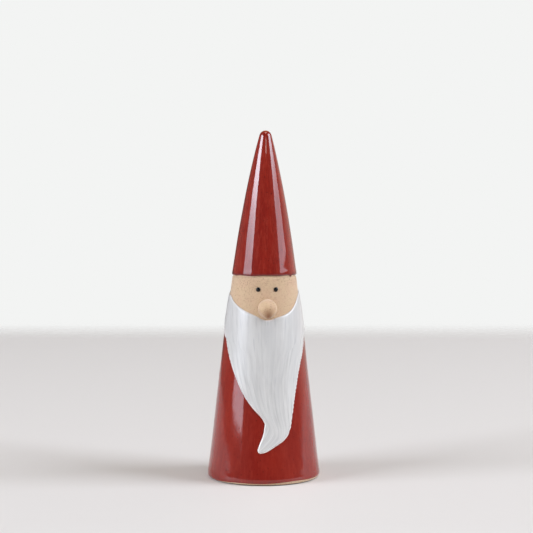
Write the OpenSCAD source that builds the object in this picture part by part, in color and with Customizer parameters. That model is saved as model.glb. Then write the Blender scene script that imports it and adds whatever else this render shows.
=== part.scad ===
// Tall conical tomte (house gnome) in buff stoneware: a hollow cone, open at the foot, with a
// modelled nose, an applied beard, two black bead eyes and separate coats of red and white glaze.
// Millimetres. +Z is up, the face looks towards -Y and the origin is the centre of the foot.

/* [Cone] */
// Height from the foot to the tip of the hat, glaze included
height = 200; // [160:5:240]
// Radius that the sides of the cone run out to at the foot, without glaze
side_r = 32.5; // [28:0.1:38]
// How far the foot's ring lies inside the sides
foot_in = 1.8; // [1:0.1:2.5]
// Height of the rounding above the foot
foot_round = 4; // [2:0.5:6]
// Radius of the hat's round tip, without glaze
tip_r = 3.2; // [2.5:0.1:5]
// Half angle of the hat just under its tip, in degrees
tip_angle = 15; // [12:1:18]
// Thickness of the clay wall
wall = 4; // [3:0.25:5]

/* [Glaze] */
// Thickness of each coat of glaze
glaze = 0.4; // [0.2:0.05:0.8]
// Height of the bare clay left at the foot
bare_foot = 1.2; // [0.5:0.1:3]
// Depth of the groove cut under the hat
groove = 0.5; // [0.2:0.1:1]

/* [Beard] */
// Thickness of the beard's clay
beard = 0.5; // [0.3:0.05:1]
// Thickness of the slip that sticks the beard and the nose to the cone
slip = 0.15; // [0.1:0.05:0.3]

/* [Nose] */
// Radius of the nose, seen from above
nose_r = 5.4; // [4:0.1:7]
// Half the height of the nose
nose_half_h = 5.6; // [4:0.1:7]
// How far the middle of the nose stands in front of the face
nose_out = 2.2; // [1:0.1:4]

/* [Eyes] */
// Radius of each eye
eye_r = 1.3; // [0.8:0.1:2]
// Depth of each eye's socket
socket = 1.2; // [0.8:0.1:2]
// How far each eye stands proud
eye_dome = 0.7; // [0.3:0.1:1.2]
// Turn from the middle of the face to each eye, in degrees
eye_turn = 15; // [10:1:25]

/* [Hidden] */

CLAY = [0.80, 0.66, 0.53];
SLIP = [0.74, 0.60, 0.47];
RED = [0.55, 0.12, 0.09];
WHITE = [0.90, 0.91, 0.93];
BLACK = [0.04, 0.04, 0.05];

hat_z = 0.5865 * height;
groove_h = 2 * groove;
brow_z = hat_z - groove_h;
nose_z = 0.494 * height;
eye_z = 0.548 * height;
cavity_z = 0.87 * height;
above_brow = 0.65;
tiny = 0.01;
// How far a cutting block reaches inside and outside the cone's surface.
block_in = 1.5;
block_out = 3;

// The beard's two edges, from just above the hat's line down to the curl's tip: the turn from the
// middle of the face in degrees, and the share of the height. The left edge has a notch.
LEFT_SIDE = [
    [-131, 0.6], [-118, 0.53], [-96, 0.45], [-77, 0.423],
    [-50, 0.328], [-28, 0.246], [-11, 0.202], [-3.5, 0.173]
];
LEFT_CURL = [[-3.5, 0.173], [-5.5, 0.142], [-9.5, 0.115], [-11, 0.1]];
RIGHT_SIDE = [
    [131, 0.6], [118, 0.53], [96, 0.45], [77, 0.423],
    [50, 0.335], [37, 0.26], [30, 0.195], [26.5, 0.16]
];
RIGHT_CURL = [[26.5, 0.16], [20, 0.131], [8, 0.11], [-6, 0.092]];
// The face's lower edge from ear to ear, given the same way. It is a little higher on the left side
// of the face than on the right side.
FACE_EDGE = [
    [-124, 0.6], [-116, 0.56], [-104, 0.538], [-90, 0.53], [-75, 0.525], [-60, 0.509], [-40, 0.491],
    [-20, 0.476], [-2, 0.462], [15, 0.469], [35, 0.481], [50, 0.498], [63, 0.519], [75, 0.532],
    [90, 0.54], [104, 0.548], [116, 0.565], [124, 0.6]
];

// Cubic Bezier curve through a and d, in n steps.
function bezier(a, b, c, d, n) = [
    for (i = [0 : n])
        let (t = i / n, s = 1 - t)
            s ^ 3 * a + 3 * s ^ 2 * t * b + 3 * s * t ^ 2 * c + t ^ 3 * d
];

// Catmull-Rom curve through the points p, in n steps a span.
function spline(p, n) = [
    for (i = [0 : len(p) - 2], k = [0 : n - (i == len(p) - 2 ? 0 : 1)])
        let (
            t = k / n,
            a = p[max(i - 1, 0)],
            b = p[i],
            c = p[i + 1],
            d = p[min(i + 2, len(p) - 1)]
        )
            b + t / 2 * (c - a + t * (2 * a - 5 * b + 4 * c - d + t * (3 * (b - c) + d - a)))
];

function reverse(list) = [for (i = [len(list) - 1 : -1 : 0]) list[i]];
function tail(list) = [for (i = [1 : len(list) - 1]) list[i]];
function unit(v) = v / norm(v);
function turned(v) = [v.y, -v.x];

// Curves are lists of [radius, z] from the foot up.
// cone_curve is the clay's outside: a rounded foot, a long swelling side and a round tip.
tip_z = height - glaze - tip_r;
tip_start = [tip_r * cos(tip_angle), tip_z + tip_r * sin(tip_angle)];
side_low = [0.75 * side_r, 0.3 * height];
side_high = tip_start + 0.305 * height * [sin(tip_angle), -cos(tip_angle)];
side_curve = bezier([side_r, 0], side_low, side_high, tip_start, 26);
foot_r = side_r - foot_in;
foot_pull = 0.4 * foot_round;
foot_curve = bezier(
    [foot_r, 0],
    [foot_r + 0.5 * foot_in, 0],
    [radius(side_curve, foot_pull), foot_pull],
    [radius(side_curve, foot_round), foot_round],
    6
);
cone_curve = concat(
    foot_curve,
    [for (p = side_curve) if (p.y > foot_round + 1) p],
    [for (a = [tip_angle + 12 : 8 : 88]) [tip_r * cos(a), tip_z + tip_r * sin(a)]],
    [[0, tip_z + tip_r]]
);

// Radius of a curve at height z.
function radius(curve, z) = lookup(z, [for (p = curve) [p.y, p.x]]);

// A curve moved outwards by d, square to itself.
function moved(curve, d) = [
    for (i = [0 : len(curve) - 1])
        let (below = curve[max(i - 1, 0)], above = curve[min(i + 1, len(curve) - 1)])
            curve[i] + d * turned(unit(above - below))
];

// The outside of a coat of thickness d on the clay, still ending on the axis.
function coat_curve(d) =
    let (coat = moved(cone_curve, d), last = len(coat) - 1)
        d == 0 ? cone_curve : [for (i = [0 : last]) i < last ? coat[i] : [0, tip_z + tip_r + d]];

// The part of a curve between two heights.
function clip(curve, z0, z1) =
    let (top = min(z1, curve[len(curve) - 1].y))
        concat(
            [[radius(curve, z0), z0]],
            [for (p = curve) if (p.y > z0 + tiny && p.y < top - tiny) p],
            [[radius(curve, top), top]]
        );

// Solid of revolution between two coat thicknesses and two heights.
module coat(inner, outer, z0, z1) {
    outside = clip(coat_curve(outer), z0, z1);
    inside = clip(coat_curve(inner), z0, z1);
    rotate_extrude($fn = 96)
        polygon(concat(outside, reverse(inside)));
}

// Everything inside the clay's outside grown by d.
module cone_solid(d) {
    rotate_extrude($fn = 96)
        polygon(concat([[0, 0]], clip(coat_curve(d), 0, height)));
}

// Point at a turn from the middle of the face, a height and a radius.
function around(turn, z, r) = [r * sin(turn), -r * cos(turn), z];

// Closed solid that follows the cone's surface, over rows of [left point, right point], each
// point [turn, z]. Its outline stands square to the axis, and its rows run downwards.
module surface_block(rows, columns = 14) {
    m = columns + 1;
    n = len(rows);
    points = [
        for (depth = [-block_in, block_out], row = rows, c = [0 : columns])
            let (p = row[0] + (row[1] - row[0]) * c / columns)
                around(p.x, p.y, radius(cone_curve, p.y) + depth)
    ];
    function at(side, i, c) = side * n * m + i * m + c;
    inside = [for (i = [0 : n - 2], c = [0 : columns - 1]) each [
        [at(0, i, c), at(0, i + 1, c), at(0, i + 1, c + 1)],
        [at(0, i, c), at(0, i + 1, c + 1), at(0, i, c + 1)]
    ]];
    outside = [for (i = [0 : n - 2], c = [0 : columns - 1]) each [
        [at(1, i, c), at(1, i + 1, c + 1), at(1, i + 1, c)],
        [at(1, i, c), at(1, i, c + 1), at(1, i + 1, c + 1)]
    ]];
    left_and_right = [for (i = [0 : n - 2]) each [
        [at(0, i, 0), at(1, i, 0), at(1, i + 1, 0)],
        [at(0, i, 0), at(1, i + 1, 0), at(0, i + 1, 0)],
        [at(1, i, columns), at(0, i, columns), at(0, i + 1, columns)],
        [at(1, i, columns), at(0, i + 1, columns), at(1, i + 1, columns)]
    ]];
    top_and_bottom = [for (c = [0 : columns - 1]) each [
        [at(0, 0, c), at(0, 0, c + 1), at(1, 0, c + 1)],
        [at(0, 0, c), at(1, 0, c + 1), at(1, 0, c)],
        [at(0, n - 1, c + 1), at(0, n - 1, c), at(1, n - 1, c)],
        [at(0, n - 1, c + 1), at(1, n - 1, c), at(1, n - 1, c + 1)]
    ]];
    polyhedron(points, concat(inside, outside, left_and_right, top_and_bottom));
}

// An edge of the beard, as points [turn, z]: its long side and then its curl.
function beard_edge(side, curl) = [
    for (p = concat(spline(side, 4), tail(spline(curl, 4)))) [p.x, p.y * height]
];

// An edge moved into the beard by d: inwards is 1 on the left edge and -1 on the right edge.
function inset(edge, d, inwards) = [
    for (i = [0 : len(edge) - 1])
        let (
            mm = radius(cone_curve, edge[i].y) * PI / 180,
            step = edge[min(i + 1, len(edge) - 1)] - edge[max(i - 1, 0)],
            square_on = -inwards * turned(unit([step.x * mm, step.y]))
        )
            edge[i] + d * [square_on.x / mm, square_on.y]
];

// Rows across the beard, and the face above it, kept d inside their outline.
function beard_rows(d) =
    let (
        left = inset(beard_edge(LEFT_SIDE, LEFT_CURL), d, 1),
        right = inset(beard_edge(RIGHT_SIDE, RIGHT_CURL), d, -1)
    )
        [for (i = [0 : len(left) - 1]) [left[i], right[i]]];

// Strips over the bare face, from ear to ear, reaching d further down than its lower edge.
function face_strips(d) = [
    for (p = spline(FACE_EDGE, 3)) [[p.x, p.y * height - d], [p.x, above_brow * height]]
];

// The beard between two coat thicknesses, kept d inside its outline.
module beard_layer(inner, outer, d) {
    difference() {
        intersection() {
            coat(inner, outer, foot_round, brow_z - d);
            surface_block(beard_rows(d));
        }
        surface_block(face_strips(d), 1);
    }
}

// Puts children on the surface at a turn and height, with their +Z pointing straight out.
module facing(turn, z) {
    rotate([0, 0, turn])
        translate([0, -radius(cone_curve, z), z])
            rotate([90, 0, 0])
                children();
}

// Hollow inside the wall, open at the foot and round at the top.
module cavity() {
    inside = moved(side_curve, -wall);
    top_r = radius(inside, cavity_z);
    rotate_extrude($fn = 96)
        polygon(concat(
            [[0, -1], [radius(inside, 0), -1]],
            clip(inside, 0, cavity_z),
            [for (a = [15 : 15 : 90]) [top_r * cos(a), cavity_z + top_r * sin(a)]]
        ));
}

// V-shaped groove that the hat's lower edge stands over.
module hat_groove() {
    middle = (hat_z + brow_z) / 2;
    r = radius(cone_curve, middle);
    rotate_extrude($fn = 96)
        polygon([
            [r - groove, middle],
            [r + groove, middle - 2 * groove],
            [r + groove, middle + 2 * groove]
        ]);
}

module clay_shell() {
    color(CLAY)
        difference() {
            cone_solid(0);
            cavity();
            hat_groove();
            for (turn = [-eye_turn, eye_turn])
                facing(turn, eye_z)
                    translate([0, 0, -socket])
                        cylinder(r = eye_r, h = 2 * socket, $fn = 48);
        }
}

module beard_slip() {
    color(SLIP) beard_layer(0, slip, glaze);
}

module beard_slab() {
    color(CLAY) beard_layer(slip, slip + beard, glaze);
}

module beard_glaze() {
    color(WHITE)
        difference() {
            beard_layer(0, slip + beard + glaze, 0);
            beard_layer(0, slip + beard, glaze);
        }
}

// A round pad of slip, a little wider than the nose's foot.
module nose_slip() {
    color(SLIP)
        intersection() {
            coat(0, slip, nose_z - 2 * nose_r, nose_z + 2 * nose_r);
            facing(0, nose_z)
                translate([0, 0, -nose_r])
                    cylinder(r = nose_r, h = 2 * nose_r, $fn = 64);
        }
}

module nose() {
    color(CLAY)
        difference() {
            translate([0, -radius(cone_curve, nose_z) - nose_out, nose_z])
                rotate_extrude($fn = 64)
                    polygon([for (a = [-90 : 10 : 90]) [nose_r * cos(a), nose_half_h * sin(a)]]);
            cone_solid(slip);
        }
}

// A bead with a straight stem that fills its socket.
module eye(turn) {
    color(BLACK)
        facing(turn, eye_z)
            translate([0, 0, -socket])
                rotate_extrude($fn = 48)
                    polygon(concat(
                        [[0, 0], [eye_r, 0]],
                        [for (a = [0 : 15 : 90]) [eye_r * cos(a), socket + eye_dome * sin(a)]]
                    ));
}

module hat_glaze() {
    color(RED) coat(0, glaze, hat_z, height);
}

module robe_glaze() {
    color(RED)
        difference() {
            coat(0, glaze, bare_foot, brow_z);
            surface_block(beard_rows(0));
        }
}

clay_shell();
beard_slip();
beard_slab();
nose_slip();
nose();
eye(eye_turn);  // left_eye
eye(-eye_turn);  // right_eye
hat_glaze();
robe_glaze();
beard_glaze();
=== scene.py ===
"""Looks of the ceramic tomte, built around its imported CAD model.

Metres, +Z up, the face towards -Y. Three words are used throughout: a turn is an angle round the
axis in degrees from the middle of the face, positive towards +X; a climb is a distance up the
cone's outline from its foot; and a lift is a distance out from the surface of the clay.
"""

import math

import bmesh
import bpy
import numpy as np
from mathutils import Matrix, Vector


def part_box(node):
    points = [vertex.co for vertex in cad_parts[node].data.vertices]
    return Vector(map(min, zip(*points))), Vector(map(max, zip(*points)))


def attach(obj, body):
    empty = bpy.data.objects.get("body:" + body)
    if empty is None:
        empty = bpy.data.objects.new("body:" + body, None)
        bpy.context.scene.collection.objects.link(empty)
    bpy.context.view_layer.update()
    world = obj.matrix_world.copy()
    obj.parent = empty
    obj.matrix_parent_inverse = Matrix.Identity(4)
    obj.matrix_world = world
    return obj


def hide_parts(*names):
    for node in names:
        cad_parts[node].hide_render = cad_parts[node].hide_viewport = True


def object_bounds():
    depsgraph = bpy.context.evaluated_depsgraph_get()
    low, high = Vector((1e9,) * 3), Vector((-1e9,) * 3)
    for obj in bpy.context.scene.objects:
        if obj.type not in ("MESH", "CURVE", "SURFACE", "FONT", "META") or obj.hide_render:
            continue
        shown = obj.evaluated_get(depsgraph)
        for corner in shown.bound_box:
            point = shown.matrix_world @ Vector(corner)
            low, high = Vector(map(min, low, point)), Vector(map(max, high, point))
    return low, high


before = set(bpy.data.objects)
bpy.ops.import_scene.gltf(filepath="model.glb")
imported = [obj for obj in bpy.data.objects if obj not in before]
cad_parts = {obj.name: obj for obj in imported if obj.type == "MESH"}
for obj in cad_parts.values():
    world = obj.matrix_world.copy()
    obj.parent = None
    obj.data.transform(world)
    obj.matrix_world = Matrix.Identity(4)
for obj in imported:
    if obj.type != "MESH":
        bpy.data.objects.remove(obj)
CAD_LOW, CAD_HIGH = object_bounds()

MM = 0.001
HEIGHT = CAD_HIGH.z

# The cone of clay, as in the CAD model
SIDE_R = 32.5 * MM
FOOT_R = SIDE_R - 1.8 * MM
FOOT_ROUND = 4 * MM
TIP_R = 3.2 * MM
TIP_ANGLE = math.radians(15)
LOW_PULL = (0.75 * SIDE_R, 0.3 * HEIGHT)
HIGH_PULL = 0.305 * HEIGHT
WALL = 4 * MM
CAVITY_TOP = 0.87 * HEIGHT

# Layers on the clay. UNDER is the gap below the lowest one.
GLAZE = 0.4 * MM
SLIP = 0.15 * MM
BEARD = 0.5 * MM
UNDER = 0.02 * MM

# The hat's glaze starts at HAT_Z, a little above BROW_Z, where the robe's glaze ends. The clay has a
# groove between these two heights. At the foot, the robe's glaze starts at BARE_FOOT.
HAT_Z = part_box("hat_glaze")[0].z
BROW_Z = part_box("robe_glaze")[1].z
GROOVE = 0.5 * MM
BARE_FOOT = 1.2 * MM

# How far the tip leans
LEAN = 1.1 * MM

# Nose and eyes, as in the CAD model
NOSE_Z = 0.494 * HEIGHT
NOSE_R = 5.4 * MM
NOSE_HALF_H = 5.6 * MM
NOSE_OUT = 2.2 * MM
EYE_Z = 0.548 * HEIGHT
EYE_R = 1.3 * MM
EYE_DOME = 0.7 * MM
SOCKET = 1.2 * MM
EYE_TURN = 15

# Outlines, as turns and shares of the height, as in the CAD model but with a rounded curl. Left and
# right are as seen from the front here, while left_eye and right_eye are the gnome's own.
BROW = BROW_Z / HEIGHT
LEFT_EDGE = [
    (-128, BROW), (-118, 0.53), (-96, 0.45), (-77, 0.423), (-50, 0.328), (-28, 0.246), (-11, 0.202),
    (-3.5, 0.173)
]
LEFT_CURL = [(-3.5, 0.173), (-5.5, 0.142), (-9.5, 0.115), (-11.2, 0.1), (-10.4, 0.0935), (-8, 0.0905)]
RIGHT_EDGE = [
    (128, BROW), (118, 0.53), (96, 0.45), (77, 0.423), (50, 0.335), (37, 0.26), (30, 0.195),
    (26.5, 0.16), (20, 0.131), (8, 0.11), (-2, 0.0945), (-8, 0.0905)
]
FACE_EDGE = [
    (-121, BROW), (-116, 0.56), (-104, 0.538), (-90, 0.53), (-75, 0.525), (-60, 0.509), (-40, 0.491),
    (-20, 0.476), (-2, 0.462), (15, 0.469), (35, 0.481), (50, 0.498), (63, 0.519), (75, 0.532),
    (90, 0.54), (104, 0.548), (116, 0.565), (121, BROW)
]


# ---------------------------------------------------------------- curves and surfaces

def bezier(a, b, c, d, count):
    """Points along a cubic curve from a to d."""
    t = np.linspace(0, 1, count)[:, None]
    a, b, c, d = (np.array(p, float) for p in (a, b, c, d))
    return (1 - t) ** 3 * a + 3 * (1 - t) ** 2 * t * b + 3 * (1 - t) * t**2 * c + t**3 * d


def spline(points, count=24):
    """Points along a Catmull-Rom curve through the given ones, with count steps a span."""
    p = np.array(points, float)
    p = np.vstack([p[:1], p, p[-1:]])
    t = np.linspace(0, 1, count, endpoint=False)[:, None]
    spans = [
        b + t / 2 * (c - a + t * (2 * a - 5 * b + 4 * c - d + t * (3 * (b - c) + d - a)))
        for a, b, c, d in zip(p[:-3], p[1:-2], p[2:-1], p[3:])
    ]
    return np.vstack(spans + [p[-1:]])


def lengths(points):
    """Distance along a line of points."""
    return np.concatenate([[0], np.cumsum(np.linalg.norm(np.diff(points, axis=0), axis=1))])


def cone_outline():
    """The clay's outside, from the foot's ring to the tip, as radius and height."""
    tip_z = HEIGHT - GLAZE - TIP_R
    sine, cosine = math.sin(TIP_ANGLE), math.cos(TIP_ANGLE)
    start = np.array([TIP_R * cosine, tip_z + TIP_R * sine])
    high = start + HIGH_PULL * np.array([sine, -cosine])
    side = bezier((SIDE_R, 0), LOW_PULL, high, start, 400)
    low_r, round_r = np.interp([0.4 * FOOT_ROUND, FOOT_ROUND], side[:, 1], side[:, 0])
    foot = bezier(
        (FOOT_R, 0), ((FOOT_R + SIDE_R) / 2, 0), (low_r, 0.4 * FOOT_ROUND), (round_r, FOOT_ROUND), 40
    )
    angle = np.linspace(TIP_ANGLE, math.pi / 2, 40)[1:]
    tip = np.stack([TIP_R * np.cos(angle), tip_z + TIP_R * np.sin(angle)], 1)
    return np.vstack([foot, side[side[:, 1] > FOOT_ROUND + 0.2 * MM], tip])


OUTLINE = cone_outline()
CLIMB = lengths(OUTLINE)
TANGENT = np.gradient(OUTLINE, CLIMB, axis=0)
TANGENT /= np.linalg.norm(TANGENT, axis=1)[:, None]


def climb_to(z):
    """How far up the outline a height is."""
    return np.interp(z, OUTLINE[:, 1], CLIMB)


def radius_at(z):
    return np.interp(z, OUTLINE[:, 1], OUTLINE[:, 0])


def radius_on(climb):
    return np.interp(climb, CLIMB, OUTLINE[:, 0])


def place(turn, climb, lift=0.0):
    """Points over the clay, from grids of turns, climbs and lifts."""
    turn, climb, lift = np.broadcast_arrays(turn, climb, lift)
    r = radius_on(climb) + lift * np.interp(climb, CLIMB, TANGENT[:, 1])
    z = np.interp(climb, CLIMB, OUTLINE[:, 1]) - lift * np.interp(climb, CLIMB, TANGENT[:, 0])
    return upright(turn, r, z)


def upright(turn, r, z):
    """Points at a turn, a radius and a height. The figure leans a little towards +X as it rises."""
    turn, r, z = np.broadcast_arrays(turn, r, z)
    angle = np.radians(turn)
    return np.stack([r * np.sin(angle) + lean_at(z), -r * np.cos(angle), z], -1)


def lean_at(z):
    return LEAN * (np.maximum(z, 0) / HEIGHT) ** 2


def facing(turn, z, right, up, out):
    """Points given as distances to the right, up and straight out from a place on the clay."""
    angle = math.radians(turn)
    r = radius_at(z) + out
    x = r * math.sin(angle) + right * math.cos(angle) + lean_at(z)
    y = -r * math.cos(angle) + right * math.sin(angle)
    return np.stack([x, y, z + up], -1)


def wobble(turn, climb, seed, around, along=1.0):
    """Smooth unevenness, mostly between -1.5 and 1.5. It has up to `around` waves round the cone, and its
    waves up the cone are at least `along` metres long."""
    rng = np.random.default_rng(seed)
    total = 0
    for _ in range(14):
        waves = rng.integers(-around, around + 1)
        phase = rng.uniform(0, 2 * math.pi)
        rise = rng.uniform(-1, 1) * 2 * math.pi / along
        total = total + np.sin(waves * np.radians(turn) + rise * climb + phase)
    return total / math.sqrt(14)


def lattice_noise(u, v, seed):
    """Smooth random values between -1 and 1, with one knot for each whole number of u and v."""
    knots = np.random.default_rng(seed).uniform(-1, 1, (int(u.max()) + 3, int(v.max()) + 3))
    i, j = u.astype(int), v.astype(int)
    a, b = u - i, v - j
    a, b = a * a * (3 - 2 * a), b * b * (3 - 2 * b)
    low = knots[i, j] * (1 - a) + knots[i + 1, j] * a
    high = knots[i, j + 1] * (1 - a) + knots[i + 1, j + 1] * a
    return low * (1 - b) + high * b


def near(distance, width):
    """1 at no distance, falling smoothly to 0 well beyond a width."""
    return np.exp(-((distance / width) ** 2))


def dome(distance, width):
    """Height of a rounded edge, from 0 at the edge to 1 at a distance of width and beyond."""
    x = np.clip(distance / width, 0, 1)
    return np.sqrt(x * (2 - x))


def clustered(count, share):
    """Numbers from 0 to 1 that lie closer together at both ends."""
    u = np.linspace(0, 1, count)
    return (1 - share) * u + share * (1 - np.cos(math.pi * u)) / 2


# ---------------------------------------------------------------- meshes

def grid_faces(rows, columns, start=0, flip=False):
    """Corner numbers of the squares between rows and columns of points."""
    i, j = np.meshgrid(np.arange(rows - 1), np.arange(columns - 1), indexing="ij")
    a = (start + i * columns + j).ravel()
    quads = np.stack([a, a + 1, a + columns + 1, a + columns], 1)
    return quads[:, ::-1] if flip else quads


def make_piece(name, points, faces, material, node, slot, **values):
    """A closed, smooth mesh piece that rides on the only body and stands for its CAD node."""
    mesh = bpy.data.meshes.new(name)
    mesh.from_pydata(points.reshape(-1, 3).tolist(), [], faces.tolist())
    for key, numbers in values.items():
        layer = mesh.attributes.new(key, "FLOAT", "POINT")
        layer.data.foreach_set("value", np.ascontiguousarray(numbers, np.float32).ravel())
    work = bmesh.new()
    work.from_mesh(mesh)
    bmesh.ops.remove_doubles(work, verts=work.verts, dist=0.0005 * MM)
    bmesh.ops.recalc_face_normals(work, faces=work.faces)
    if work.calc_volume(signed=True) < 0:
        bmesh.ops.reverse_faces(work, faces=work.faces)
    for face in work.faces:
        face.smooth = True
    work.to_mesh(mesh)
    work.free()
    mesh.materials.append(material)
    piece = bpy.data.objects.new(name, mesh)
    bpy.context.scene.collection.objects.link(piece)
    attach(piece, "root")
    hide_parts(node)


def shell(outer, inner, open_from=None):
    """Points and faces of a closed coat between two grids of points, whose first and last columns
    meet below row open_from and are walled above it. With None they meet all the way."""
    rows, columns = outer.shape[:2]
    count = rows * columns
    faces = [grid_faces(rows, columns), grid_faces(rows, columns, count, flip=True)]
    for row, flip in ((0, False), (rows - 1, True)):
        a = row * columns + np.arange(columns - 1)
        wall = np.stack([a + 1, a, a + count, a + count + 1], 1)
        faces.append(wall[:, ::-1] if flip else wall)
    if open_from is not None:
        for column, flip in ((0, False), (columns - 1, True)):
            a = np.arange(open_from, rows - 1) * columns + column
            wall = np.stack([a, a + columns, a + columns + count, a + count], 1)
            faces.append(wall[:, ::-1] if flip else wall)
    return np.stack([outer, inner]), np.vstack(faces)


def both(values):
    """The same values for the outside and the inside of a shell."""
    return np.stack([values, values])


# ---------------------------------------------------------------- the beard's outline and flow

def on_cone(edge):
    """An outline's points as turn and climb."""
    return np.stack([edge[:, 0], climb_to(edge[:, 1] * HEIGHT)], 1)


LEFT = on_cone(np.vstack([spline(LEFT_EDGE)[:-1], spline(LEFT_CURL)]))
RIGHT = on_cone(spline(RIGHT_EDGE))
FACE = on_cone(spline(FACE_EDGE))
EAR_TURN = -LEFT[0, 0]


def face_edge(turn):
    """Climb of the beard's upper edge, which follows the hat's line behind the ears."""
    return np.interp(turn, FACE[:, 0], FACE[:, 1])


def along_edge(edge, share):
    """Points at shares of an outline's length."""
    run = lengths(np.stack([np.radians(edge[:, 0]) * radius_on(edge[:, 1]), edge[:, 1]], 1))
    return np.stack([np.interp(share * run[-1], run, edge[:, i]) for i in (0, 1)], -1)


def flow_grid(down, across):
    """Turn and climb where the beard's strands lie: `across` runs from the left edge to the right
    edge, and `down` from the face to the tip of the curl."""
    left = along_edge(LEFT, down)[:, None]
    right = along_edge(RIGHT, down)[:, None]
    t = across[None, :, None]
    s = down[:, None]
    grid = (1 - t) * left + t * right
    start_turn = EAR_TURN * (2 * across - 1)
    grid[..., 1] += (1 - s) * (face_edge(start_turn) - climb_to(BROW_Z))[None]
    return grid[..., 0], grid[..., 1]


def beard_border():
    """The whole outline as one line of points, in turn and climb."""
    turns = np.linspace(EAR_TURN, -EAR_TURN, 400)
    top = np.stack([turns, face_edge(turns)], 1)
    return np.vstack([LEFT, RIGHT[::-1], top])


BORDER = beard_border()


def to_border(turn, climb):
    """Distance over the clay to the beard's outline."""
    r = radius_on(climb)
    nearest = np.full(np.shape(turn), 1.0)
    for border_turn, border_climb in BORDER[::2]:
        aside = np.radians((turn - border_turn + 180) % 360 - 180) * r
        nearest = np.minimum(nearest, np.hypot(aside, climb - border_climb))
    return nearest


# ---------------------------------------------------------------- materials

RED_IOR = 1.55
BLACK_IOR = 1.38


def put(tree, kind, inputs=None, **settings):
    """Adds a node. An input is a number or colour, or the output of another node."""
    node = tree.nodes.new("ShaderNode" + kind)
    for key, value in settings.items():
        setattr(node, key, value)
    for key, value in (inputs or {}).items():
        if isinstance(value, bpy.types.NodeSocket):
            tree.links.new(value, node.inputs[key])
        else:
            node.inputs[key].default_value = value
    return node


def new_material(name, roughness):
    """A material with one Principled shader, and its tree."""
    material = bpy.data.materials.new(name)
    material.use_nodes = True
    tree = material.node_tree
    shader = tree.nodes["Principled BSDF"]
    shader.inputs["Roughness"].default_value = roughness
    return material, tree, shader


def srgb(red, green, blue):
    """A colour given on the 0 to 255 scale of a screen, as linear light."""
    def linear(c):
        c /= 255
        return c / 12.92 if c <= 0.04045 else ((c + 0.055) / 1.055) ** 2.4
    return (linear(red), linear(green), linear(blue), 1.0)


def times(tree, a, b):
    return put(tree, "Math", {0: a, 1: b}, operation="MULTIPLY").outputs[0]


def plus(tree, a, b):
    return put(tree, "Math", {0: a, 1: b}, operation="ADD").outputs[0]


def mix(tree, factor, a, b):
    """Mixes two colours."""
    node = tree.nodes.new("ShaderNodeMix")
    node.data_type = "RGBA"
    for key, value in {"Factor": factor, "A": a, "B": b}.items():
        socket = [s for s in node.inputs if s.name == key and s.enabled][0]
        if isinstance(value, bpy.types.NodeSocket):
            tree.links.new(value, socket)
        else:
            socket.default_value = value
    return [s for s in node.outputs if s.enabled][0]


def fade(tree, value, low, high, most=1.0):
    """0 where the value is below low, rising to `most` above high."""
    inputs = {"Value": value, "From Min": low, "From Max": high, "To Max": most}
    return put(tree, "MapRange", inputs, interpolation_type="SMOOTHSTEP").outputs[0]


def noise(tree, where, size, stretch=1.0, detail=3.0, rough=0.5):
    """Noise whose grains are about `size` metres across and `stretch` times as long upwards."""
    scaled = put(tree, "Mapping", {"Vector": where, "Scale": (1 / size, 1 / size, 1 / size / stretch)})
    inputs = {"Vector": scaled.outputs[0], "Scale": 1.0, "Detail": detail, "Roughness": rough}
    return put(tree, "TexNoise", inputs).outputs["Fac"]


def attribute(tree, name):
    return put(tree, "Attribute", attribute_name=name).outputs["Fac"]


def place_on(tree):
    """Where a point is on the object."""
    return put(tree, "TexCoord").outputs["Object"]


def bump(tree, shader, heights):
    """Adds bumps from (height, depth in metres) pairs."""
    normal = None
    for height, depth in heights:
        inputs = {"Height": height, "Distance": depth, "Strength": 1.0}
        if normal is not None:
            inputs["Normal"] = normal
        normal = put(tree, "Bump", inputs).outputs[0]
    tree.links.new(normal, shader.inputs["Normal"])


def red_glaze(name, gloss, ripple, streaky):
    """Glossy iron-red glaze, from the attributes pool, where it is thick and dark, and worn, where it
    is thin and breaks to the brown of the clay. It runs down in fine streaks, as strong as streaky
    says."""
    material, tree, shader = new_material(name, gloss)
    shader.inputs["IOR"].default_value = RED_IOR
    where = place_on(tree)
    broad = noise(tree, where, 12 * MM, stretch=2.5)
    runs = noise(tree, where, 3.2 * MM, stretch=25, detail=1)
    streaks = noise(tree, where, 1.2 * MM, stretch=30, detail=4, rough=0.7)
    mottle = noise(tree, where, 2.6 * MM, stretch=3, detail=4, rough=0.6)
    fine = noise(tree, where, 0.4 * MM, stretch=14, detail=2)
    specks = noise(tree, where, 0.8 * MM, detail=0)
    colour = mix(tree, fade(tree, broad, 0.3, 0.7), srgb(122, 25, 17), srgb(134, 33, 22))
    colour = mix(tree, fade(tree, runs, 0.35, 0.65, 0.5 * streaky), colour, srgb(116, 20, 14))
    colour = mix(tree, fade(tree, streaks, 0.44, 0.66, 0.5 * streaky), colour, srgb(149, 51, 38))
    colour = mix(tree, fade(tree, fine, 0.48, 0.7, 0.35 * streaky), colour, srgb(104, 15, 11))
    colour = mix(tree, fade(tree, mottle, 0.5, 0.68, 0.4), colour, srgb(142, 42, 29))
    colour = mix(tree, fade(tree, specks, 0.74, 0.8, 0.7), colour, srgb(74, 14, 11))
    colour = mix(tree, attribute(tree, "pool"), colour, srgb(88, 9, 8))
    worn = plus(tree, attribute(tree, "worn"), times(tree, streaks, 0.6))
    colour = mix(tree, fade(tree, worn, 0.75, 1.35), colour, srgb(168, 92, 62))
    tree.links.new(colour, shader.inputs["Base Color"])
    dull = plus(tree, fade(tree, broad, 0.2, 0.8, 0.6 * gloss), 0.7 * gloss)
    tree.links.new(dull, shader.inputs["Roughness"])
    bump(tree, shader, [(broad, ripple), (mottle, 0.6 * ripple), (streaks, 0.008 * MM)])
    return material


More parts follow.
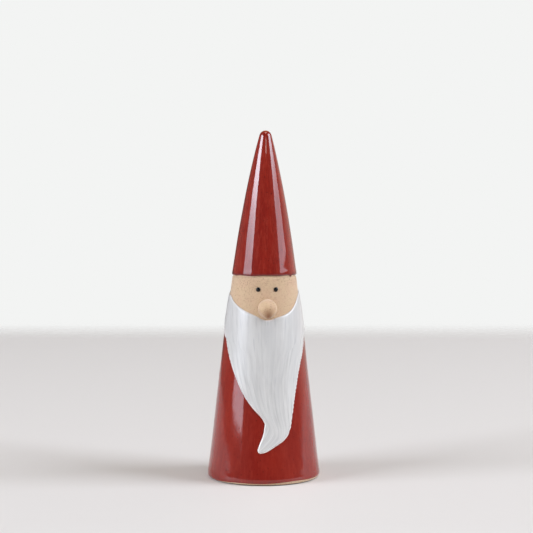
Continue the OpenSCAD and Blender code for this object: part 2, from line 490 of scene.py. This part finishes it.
def white_glaze():
    """Satin white glaze in brushed strokes that follow the attributes strand and run. It is a little
    greyer further up and in the comb's furrows, both as painted shade; pinkish along the edges, where
    the clay shows through, and brightened there as painted highlight; and flecked with short bright
    dashes that are painted glints."""
    material, tree, shader = new_material("white satin glaze", 0.3)
    where = place_on(tree)
    height = put(tree, "SeparateXYZ", {0: where}).outputs[2]
    flow = put(tree, "CombineXYZ", {0: attribute(tree, "strand"), 2: attribute(tree, "run")}).outputs[0]
    strokes = noise(tree, flow, 1.5 * MM, stretch=22, detail=3)
    bristles = noise(tree, flow, 0.6 * MM, stretch=14, detail=2)
    painted_glints = noise(tree, flow, 0.6 * MM, stretch=26, detail=0)
    clouds = noise(tree, where, 9 * MM, stretch=1.6)
    lines = noise(tree, flow, 0.45 * MM, stretch=24, detail=0)
    colour = mix(tree, fade(tree, strokes, 0.38, 0.62), srgb(193, 191, 187), srgb(206, 204, 200))
    colour = mix(tree, fade(tree, bristles, 0.48, 0.64, 0.55), colour, srgb(208, 206, 202))
    colour = mix(tree, fade(tree, clouds, 0.4, 0.7, 0.3), colour, srgb(190, 188, 185))
    colour = mix(tree, fade(tree, lines, 0.66, 0.8, 0.6), colour, srgb(164, 164, 166))
    # Painted highlight: short bright dashes along the strokes stand for glints of the satin glaze.
    colour = mix(tree, fade(tree, painted_glints, 0.72, 0.8, 0.45), colour, srgb(238, 236, 232))
    # Painted shade: greyer in the comb's furrows.
    colour = mix(tree, attribute(tree, "hollow"), colour, srgb(175, 174, 173))
    # Painted shade: the beard turns greyer from 30 mm to 100 mm up, so its lower part looks better lit.
    colour = mix(tree, fade(tree, height, 30 * MM, 100 * MM, 0.45), colour, srgb(182, 180, 177))
    # Along the edges: pinkish where the clay shows through, and brightened as painted highlight.
    colour = mix(tree, attribute(tree, "rim"), colour, srgb(250, 238, 233))
    tree.links.new(colour, shader.inputs["Base Color"])
    tree.links.new(plus(tree, times(tree, strokes, 0.2), 0.2), shader.inputs["Roughness"])
    bump(tree, shader, [(strokes, 0.04 * MM), (bristles, 0.03 * MM)])
    return material


def bare_clay(name, tone, roughness=0.78):
    """Unglazed stoneware: sandy grain, faint pink flashing and a few iron specks. Of its attributes,
    sandy has more specks, one browns the nose's underside as clay toasted by the fire with painted shade
    over it, and one paints the floor's contact shadow along the foot as painted shade."""
    material, tree, shader = new_material(name, roughness)
    shader.inputs["Sheen Weight"].default_value = 0.25
    where = place_on(tree)
    grain = noise(tree, where, 0.4 * MM, detail=5, rough=0.65)
    blotch = noise(tree, where, 6 * MM, detail=3)
    sandy = times(tree, attribute(tree, "sandy"), 0.055)
    speck = plus(tree, noise(tree, where, 0.4 * MM, detail=0), sandy)
    colour = mix(tree, fade(tree, blotch, 0.35, 0.68), tone, srgb(195, 163, 133))
    colour = mix(tree, fade(tree, grain, 0.4, 0.75, 0.55), colour, srgb(169, 136, 101))
    colour = mix(tree, fade(tree, speck, 0.7, 0.75, 0.8), colour, srgb(108, 72, 52))
    # Brown on the nose's underside: partly toasted clay, partly painted shade.
    colour = mix(tree, attribute(tree, "toast"), colour, srgb(134, 78, 38))
    # Painted shade: the floor's contact shadow, painted dark brown over the lowest 0.8 mm of the foot.
    colour = mix(tree, attribute(tree, "grime"), colour, srgb(52, 36, 28))
    tree.links.new(colour, shader.inputs["Base Color"])
    bump(tree, shader, [(grain, 0.05 * MM), (blotch, 0.12 * MM)])
    return material


def black_glaze():
    """Thick glossy black glaze with a faint brown mottle."""
    material, tree, shader = new_material("black glaze", 0.06)
    shader.inputs["IOR"].default_value = BLACK_IOR
    mottle = noise(tree, place_on(tree), 0.6 * MM)
    colour = mix(tree, fade(tree, mottle, 0.4, 0.7), srgb(3, 3, 3), srgb(11, 9, 8))
    tree.links.new(colour, shader.inputs["Base Color"])
    bump(tree, shader, [(mottle, 0.02 * MM)])
    return material


HAT_RED = red_glaze("red glaze hat", gloss=0.05, ripple=0.02 * MM, streaky=1)
ROBE_RED = red_glaze("red glaze robe", gloss=0.06, ripple=0.06 * MM, streaky=0.45)
WHITE = white_glaze()
CLAY = bare_clay("bare buff clay", srgb(194, 166, 133))
NOSE_CLAY = bare_clay("bare nose clay", srgb(206, 177, 140))
SLIP_CLAY = bare_clay("slip", srgb(198, 164, 132), roughness=0.85)
BLACK = black_glaze()


# ---------------------------------------------------------------- the clay

def eye_distance(turn, climb):
    """Distance over the clay to the nearer eye."""
    aside = np.radians(np.abs(turn) - EYE_TURN) * radius_on(climb)
    return np.hypot(aside, climb - climb_to(EYE_Z))


def make_clay_shell():
    """The hollow cone, with the hat's groove and a dimple round each eye. Inside are throwing rings."""
    low, high = climb_to(0.44 * HEIGHT), climb_to(0.6 * HEIGHT)
    climbs = np.concatenate([
        np.linspace(0, climb_to(FOOT_ROUND), 12, endpoint=False),
        np.linspace(climb_to(FOOT_ROUND), low, 30, endpoint=False),
        np.linspace(low, high, 90, endpoint=False),
        np.linspace(high, CLIMB[-1], 50),
    ])
    turns = np.linspace(-180, 180, 289)
    turn, climb = np.meshgrid(turns, climbs)
    groove_at = climb_to((HAT_Z + BROW_Z) / 2)
    lift = 0.10 * MM * wobble(turn, climb, seed=3, around=5, along=60 * MM)
    lift += 0.035 * MM * wobble(turn, climb, seed=4, around=16, along=9 * MM)
    lift *= np.clip(np.minimum(climb, CLIMB[-1] - climb) / (15 * MM), 0, 1)
    lift -= GROOVE * near(climb - groove_at, 0.5 * MM)
    lift -= 0.25 * MM * near(eye_distance(turn, climb), 1.7 * MM)
    outer = place(turn, climb, lift)
    turn, climb = np.meshgrid(turns, np.linspace(0, climb_to(CAVITY_TOP), 60))
    rings = 0.12 * MM * np.sin(climb / (2.3 * MM) + 0.6 * np.sin(climb / (9 * MM)))
    inner = place(turn, climb, -WALL + rings)
    inner[0, :, 2] = 0  # the foot is flat
    top_r = radius_at(CAVITY_TOP) - WALL
    arc = np.radians(np.linspace(0, 90, 12))[1:, None]
    cap = upright(turns[None], top_r * np.cos(arc), inner[-1, 0, 2] + top_r * np.sin(arc))
    inner = np.concatenate([inner, cap])
    count = outer.shape[0] * len(turns)
    ring = np.arange(len(turns) - 1)
    foot = np.stack([ring + 1, ring, ring + count, ring + count + 1], 1)
    outside = grid_faces(outer.shape[0], len(turns))
    inside = grid_faces(inner.shape[0], len(turns), count, flip=True)
    points = np.concatenate([outer, inner])
    # Painted contact shadow, darkest below 0.4 mm and gone by 0.8 mm above the floor.
    grime = 0.95 * np.clip(2 - points[..., 2] / (0.4 * MM), 0, 1)
    sandy = near(points[..., 2] - 0.572 * HEIGHT, 4 * MM)
    faces = np.vstack([outside, inside, foot])
    make_piece("clay_body", points, faces, CLAY, "clay_shell", "clay", grime=grime, sandy=sandy)


# ---------------------------------------------------------------- the red coats

def coat_lift(distance, lip):
    """Thickness of a coat at a distance from its edge. It rounds over, a little fuller at the lip."""
    return GLAZE * dome(distance, 0.7 * lip) * (1 + 0.12 * near(distance - lip, lip))


def make_hat_glaze():
    """The hat's coat, with a full, slightly wavy lower lip and a few short runs over the brow."""
    turns = np.linspace(-180, 180, 241)
    edge = climb_to(HAT_Z) + 0.22 * MM * wobble(turns, 0, seed=11, around=7)
    for drip_turn, width, drop in ((50, 3.5, 0.9 * MM), (-66, 8, 0.4 * MM), (150, 6, 0.8 * MM)):
        edge -= drop * near(turns - drip_turn, width)
    share = np.concatenate([np.linspace(0, 0.045, 22, endpoint=False), np.linspace(0.045, 1, 140)])
    distance = share[:, None] * (CLIMB[-1] - edge[None])
    climb = edge[None] + distance
    turn = np.broadcast_to(turns, climb.shape)
    steady = dome(distance, 2 * MM) * np.clip((CLIMB[-1] - climb) / (12 * MM), 0, 1)
    uneven = 0.04 * wobble(turn, climb, seed=12, around=4, along=60 * MM)
    uneven += 0.012 * wobble(turn, climb, seed=13, around=9, along=25 * MM)
    lift = coat_lift(distance, 1.6 * MM) + MM * uneven * steady
    points, faces = shell(place(turn, climb, lift), place(turn, climb, UNDER))
    pool = 0.9 * near(distance, 1.1 * MM)
    worn = 0.9 * near(CLIMB[-1] - climb, 4 * MM)
    make_piece(
        "hat_red_glaze", points, faces, HAT_RED, "hat_glaze", "red_glaze",
        pool=both(pool), worn=both(worn),
    )


def bare_line(turn):
    """How much further up than usual the robe's glaze stops. It is least on the gnome's right, towards
    the back."""
    return MM * (0.6 * np.sin(np.radians(turn + 35)) + 0.16 * wobble(turn, 0, seed=23, around=6))


def make_robe_glaze():
    """The robe's coat. It is a full ring below the curl, and above that it ends against the beard."""
    tip = LEFT[-1, 1]
    start, rise = climb_to(BARE_FOOT), climb_to(BROW_Z)
    across = clustered(230, 0.6)
    rows = []
    for share in np.linspace(0, 1, 24, endpoint=False):
        turns = LEFT[-1, 0] + 360 * across
        low = start + bare_line(turns)
        rows.append(np.stack([turns, low + share * (tip - low)], 1))
    closed_rows = len(rows)
    for climb in tip + np.linspace(0, 1, 160) ** 1.5 * (rise - tip):
        right = np.interp(climb, RIGHT[::-1, 1], RIGHT[::-1, 0])
        left = np.interp(climb, LEFT[::-1, 1], LEFT[::-1, 0])
        turns = right + across * (left + 360 - right)
        rows.append(np.stack([turns, np.full_like(turns, climb)], 1))
    turn, climb = np.moveaxis(np.array(rows), -1, 0)
    from_foot = climb - start - bare_line(turn)
    from_beard = to_border(turn, climb)
    distance = np.minimum(from_foot, rise - climb)
    uneven = 0.05 * wobble(turn, climb, seed=1551, around=4, along=50 * MM)
    uneven += 0.014 * wobble(turn, climb, seed=22, around=12, along=20 * MM)
    lift = coat_lift(distance, 1.0 * MM) * (0.55 + 0.45 * dome(from_beard, 0.8 * MM))
    lift += MM * uneven * dome(distance, 12 * MM)
    points, faces = shell(place(turn, climb, lift), place(turn, climb, UNDER), open_from=closed_rows)
    pool = 0.15 * near(from_beard, 0.6 * MM) + 0.4 * near(rise - climb, 1 * MM)
    worn = 0.55 * near(from_foot, 0.7 * MM)
    make_piece(
        "robe_red_glaze", points, faces, ROBE_RED, "robe_glaze", "red_glaze",
        pool=both(pool), worn=both(worn),
    )


# ---------------------------------------------------------------- the beard

def strands(turn, climb, across):
    """Distance of each point from the beard's middle strand, closing up less than the beard narrows."""
    width = np.radians(turn[:, -1:] - turn[:, :1]) * radius_on(climb[:, :1])
    return (across[None] - 0.5) * np.sqrt(width.clip(0) * 40 * MM)


def combing(strand, climb):
    """Shallow furrows of the comb: about -1 at the bottom of a furrow, and almost 1 on a ridge."""
    u, v = strand + 60 * MM, climb
    drift = 0.5 * MM * lattice_noise(u / (6 * MM), v / (14 * MM), seed=31)
    ridges = lattice_noise((u + drift) / (1.9 * MM), v / (26 * MM), seed=33)
    strokes = lattice_noise((u + drift) / (0.9 * MM), v / (10 * MM), seed=34)
    furrow = near(lattice_noise((u + drift) / (2.6 * MM), v / (40 * MM), seed=35), 0.16)
    return 0.55 * ridges + 0.3 * strokes - 0.8 * furrow


def beard_layer(down, across, low, high):
    """A coat of the beard between two shares of its thickness, with the values of its points."""
    turn, climb = flow_grid(down, across)
    strand = strands(turn, climb, across)
    comb = combing(strand, climb)
    border = to_border(turn, climb)
    below_face = face_edge(turn) - climb
    thick = (SLIP + BEARD + GLAZE) * (0.25 + 0.75 * dome(below_face, 22 * MM))
    uneven = 0.05 * MM * wobble(turn, climb, seed=36, around=3, along=40 * MM)
    thick += 0.07 * MM * comb * dome(below_face, 8 * MM) + uneven
    thick *= dome(border, 1.0 * MM)
    outer = place(turn, climb, UNDER + high * thick)
    inner = place(turn, climb, UNDER + low * thick)
    return shell(outer, inner, open_from=0), border, below_face, comb, strand, climb


def make_beard():
    """The slip, the combed slab and the white coat over it."""
    down, across = clustered(190, 0.55), clustered(230, 0.45)
    (points, faces), border, below_face, comb, strand, climb = beard_layer(down, across, 0.6, 1.0)
    # Painted shade in the furrows of the combing, weaker near the edges.
    hollow = 0.3 * np.clip(-comb, 0, 1) * dome(border, 1.5 * MM)
    # Edge band for the pinkish tint and the painted highlight, fading out towards the face.
    rim = near(border, 0.5 * MM) * dome(below_face, 4 * MM)
    make_piece(
        "beard_white_glaze", points, faces, WHITE, "beard_glaze", "white_glaze",
        hollow=both(hollow), rim=both(rim), strand=both(strand), run=both(climb),
    )
    down, across = 0.012 + 0.97 * clustered(110, 0.55), 0.012 + 0.976 * clustered(150, 0.45)
    for name, node, slot, material, low, high in (
        ("beard_combed_slab", "beard_slab", "clay", CLAY, 0.16, 0.58),
        ("beard_slip_layer", "beard_slip", "slip", SLIP_CLAY, 0.0, 0.14),
    ):
        points, faces = beard_layer(down, across, low, high)[0]
        make_piece(name, points, faces, material, node, slot)


# ---------------------------------------------------------------- the nose and the eyes

def make_nose():
    """A rolled drop of clay that narrows and hangs forward a little, with its back on the face. Its
    underside is painted brown, partly as clay toasted in the fire and partly as painted shade."""
    lat = np.radians(np.linspace(-90, 90, 81))[:, None]
    lon = np.radians(np.linspace(-180, 180, 121))[None]
    low = np.clip(-np.sin(lat), 0, 1)
    ring = NOSE_R * np.cos(lat) * (1 - 0.4 * low**2)
    up = NOSE_HALF_H * np.sin(lat) + 0 * lon
    right = ring * np.sin(lon)
    out = NOSE_OUT + ring * np.cos(lon) + 0.5 * MM * low * np.cos(lat)
    dents = 0.05 * MM * wobble(np.degrees(lon), up, seed=41, around=4, along=8 * MM) * np.cos(lat)
    right, out = right * (1 + dents / NOSE_R), out + dents
    face = np.sqrt(radius_at(NOSE_Z + up) ** 2 - right**2) - radius_at(NOSE_Z)
    points = facing(0, NOSE_Z, right, up, np.maximum(out, face + SLIP))
    # Painted shade under the nose, mixed with the brown of toasted clay.
    toast = 0.6 * near(np.hypot(right - 0.3 * MM, up + 2.3 * MM), 3.3 * MM)
    toast += 0.4 * near(np.hypot(right - 0.2 * MM, up + 4.2 * MM), 1.7 * MM)
    make_piece("nose_drop", points, grid_faces(*up.shape), NOSE_CLAY, "nose", "clay", toast=toast)


def make_nose_slip():
    """A thin pad of slip, smoothed up against the nose all round."""
    r = NOSE_R * np.linspace(0, 1, 25)[:, None]
    angle = np.radians(np.linspace(0, 360, 97))[None]
    right, up = r * np.cos(angle), r * np.sin(angle)
    turn = np.degrees(right / radius_at(NOSE_Z + up))
    climb = climb_to(NOSE_Z) + up
    lift = 2 * SLIP * dome(NOSE_R - r, 0.8 * MM) + 0 * angle
    points, faces = shell(place(turn, climb, UNDER + lift), place(turn, climb, UNDER))
    make_piece("nose_slip_pad", points, faces, SLIP_CLAY, "nose_slip", "slip")


def make_eye(name, turn, seed):
    """A bead of glaze with a straight stem in its socket."""
    angle = np.linspace(0, math.pi / 2, 16)
    r = np.concatenate([[0], EYE_R * np.cos(angle)])[:, None]
    out = np.concatenate([[-SOCKET], EYE_DOME * np.sin(angle)])[:, None]
    r = np.insert(r, 1, EYE_R, axis=0)
    out = np.insert(out, 1, -SOCKET, axis=0)
    spin = np.linspace(0, 360, 49)[None]
    r = r * (1 + 0.03 * wobble(spin, 0, seed, around=3))
    right, up = r * np.cos(np.radians(spin)), r * np.sin(np.radians(spin))
    points = facing(turn, EYE_Z, right, up, out + 0 * right)
    make_piece(name + "_bead", points, grid_faces(*points.shape[:2]), BLACK, name, "black_glaze")


make_clay_shell()
make_hat_glaze()
make_robe_glaze()
make_beard()
make_nose()
make_nose_slip()
make_eye("left_eye", EYE_TURN, seed=51)
make_eye("right_eye", -EYE_TURN, seed=52)


# ---------------------------------------------------------------- floor, light and camera

LENS = 99.97
CAMERA_TURN = -5
CAMERA_PITCH = 2.93
CAMERA_AWAY = 0.8535
CAMERA_ASIDE = 1.65 * MM
CAMERA_Z = 0.1654


def make_floor():
    """A plain pale table whose far edge melts into the wall."""
    side, far, melt = 3, 1.0, 0.22
    corners = [(-side, -side, 0), (side, -side, 0), (side, far, 0), (-side, far, 0)]
    mesh = bpy.data.meshes.new("floor")
    mesh.from_pydata(corners, [], [(0, 1, 2, 3)])
    floor = bpy.data.objects.new("floor", mesh)
    floor.rotation_euler.z = math.radians(CAMERA_TURN)
    bpy.context.scene.collection.objects.link(floor)
    material, tree, shader = new_material("pale floor", 0.6)
    shader.inputs["Base Color"].default_value = srgb(220, 215, 209)
    y = put(tree, "SeparateXYZ", {0: put(tree, "TexCoord").outputs["Object"]}).outputs[1]
    wall = put(tree, "BsdfTransparent").outputs[0]
    inputs = {0: fade(tree, y, far - melt, far), 1: shader.outputs[0], 2: wall}
    tree.links.new(put(tree, "MixShader", inputs).outputs[0], tree.nodes["Material Output"].inputs[0])
    mesh.materials.append(material)


def make_window(name, azimuth, half_width, sill, top, rise, low, high, colour):
    """A soft window 5 m away that faces the figure. It stands between the elevations sill and top, and
    its radiance goes from low to high between the two elevations of rise. All angles are degrees."""
    distance = 5.0
    elevation = (sill + top) / 2
    half_height = math.tan(math.radians(top - elevation))
    light = bpy.data.lights.new(name, "AREA")
    light.shape = "RECTANGLE"
    light.size = 2 * distance * math.tan(math.radians(half_width))
    light.size_y = 2 * distance * half_height
    light.energy = math.pi * light.size * light.size_y
    light.color = colour
    light.use_nodes = True
    tree = light.node_tree
    spot = put(tree, "NewGeometry").outputs["Parametric"]
    up = put(tree, "SeparateXYZ", {0: spot}).outputs[1]
    start, end = (0.5 + math.tan(math.radians(e - elevation)) / half_height / 2 for e in rise)
    strength = plus(tree, fade(tree, up, start, end, high - low), low)
    tree.links.new(strength, tree.nodes["Emission"].inputs["Strength"])
    lamp = bpy.data.objects.new(name, light)
    a, e = math.radians(azimuth), math.radians(elevation)
    back = Vector((math.sin(a) * math.cos(e), -math.cos(a) * math.cos(e), math.sin(e)))
    lamp.location = Vector((0, 0, HEIGHT / 2)) + distance * back
    lamp.rotation_mode = "QUATERNION"
    lamp.rotation_quaternion = back.to_track_quat("Z", "Y")
    lamp.visible_camera = False
    bpy.context.scene.collection.objects.link(lamp)


def make_windows():
    """Daylight from both sides, a small lamp in front and another one above."""
    daylight = (0.91, 0.985, 1.12)
    lamplight = (1.0, 0.97, 0.92)
    make_window(
        "window left", azimuth=-70, half_width=16.5, sill=2.1, top=32.5,
        rise=(11, 26.5), low=4.2, high=15, colour=daylight,
    )
    make_window(
        "window right", azimuth=71.5, half_width=17.5, sill=9.9, top=44,
        rise=(15, 32), low=3.2, high=12, colour=daylight,
    )
    make_window(
        "lamp front", azimuth=3, half_width=4, sill=29.5, top=32.5,
        rise=(0, 1), low=0, high=8, colour=lamplight,
    )
    make_window(
        "lamp above", azimuth=10, half_width=9, sill=68, top=86,
        rise=(0, 1), low=0, high=8, colour=lamplight,
    )


def make_room():
    """An even pale backdrop from every side. What lights the figure is dim in front, brighter at both
    sides, and brightest on a wall behind it on its left."""
    world = bpy.data.worlds.new("room")
    bpy.context.scene.world = world
    world.use_nodes = True
    tree = world.node_tree
    tree.nodes.clear()
    where = put(tree, "TexCoord").outputs["Generated"]
    x = put(tree, "SeparateXYZ", {0: where}).outputs[0]
    aside = put(tree, "Math", {0: x}, operation="ABSOLUTE").outputs[0]
    wall_way = (0.77, 0.64, 0)
    to_wall = put(tree, "VectorMath", {0: where, 1: wall_way}, operation="DOT_PRODUCT").outputs[1]
    sides = plus(tree, fade(tree, aside, 0.3, 0.8, 0.15), 0.13)
    strength = plus(tree, fade(tree, to_wall, 0.7, 1.0, 0.55), sides)
    room = put(tree, "Background", {"Color": (1.0, 0.88, 0.79, 1.0), "Strength": strength})
    seen = put(tree, "Background", {"Color": srgb(243, 244, 243)})
    camera_ray = put(tree, "LightPath").outputs["Is Camera Ray"]
    both_ways = put(tree, "MixShader", {0: camera_ray, 1: room.outputs[0], 2: seen.outputs[0]})
    put(tree, "OutputWorld", {0: both_ways.outputs[0]})


def make_camera():
    """A 100 mm lens 0.85 m away, five degrees to the figure's right of straight ahead."""
    camera = bpy.data.cameras.new("camera")
    camera.lens = LENS
    camera.sensor_width = 36
    view = bpy.data.objects.new("camera", camera)
    turn, pitch = math.radians(CAMERA_TURN), math.radians(CAMERA_PITCH)
    back = Vector((math.sin(turn), -math.cos(turn), 0))
    aside = Vector((math.cos(turn), math.sin(turn), 0))
    view.location = CAMERA_AWAY * back + CAMERA_ASIDE * aside + Vector((0, 0, CAMERA_Z))
    look = -math.cos(pitch) * back - Vector((0, 0, math.sin(pitch)))
    view.rotation_mode = "QUATERNION"
    view.rotation_quaternion = look.to_track_quat("-Z", "Y")
    bpy.context.scene.collection.objects.link(view)
    bpy.context.scene.camera = view


make_floor()
make_room()
make_windows()
make_camera()
bpy.context.scene.view_settings.view_transform = "Standard"
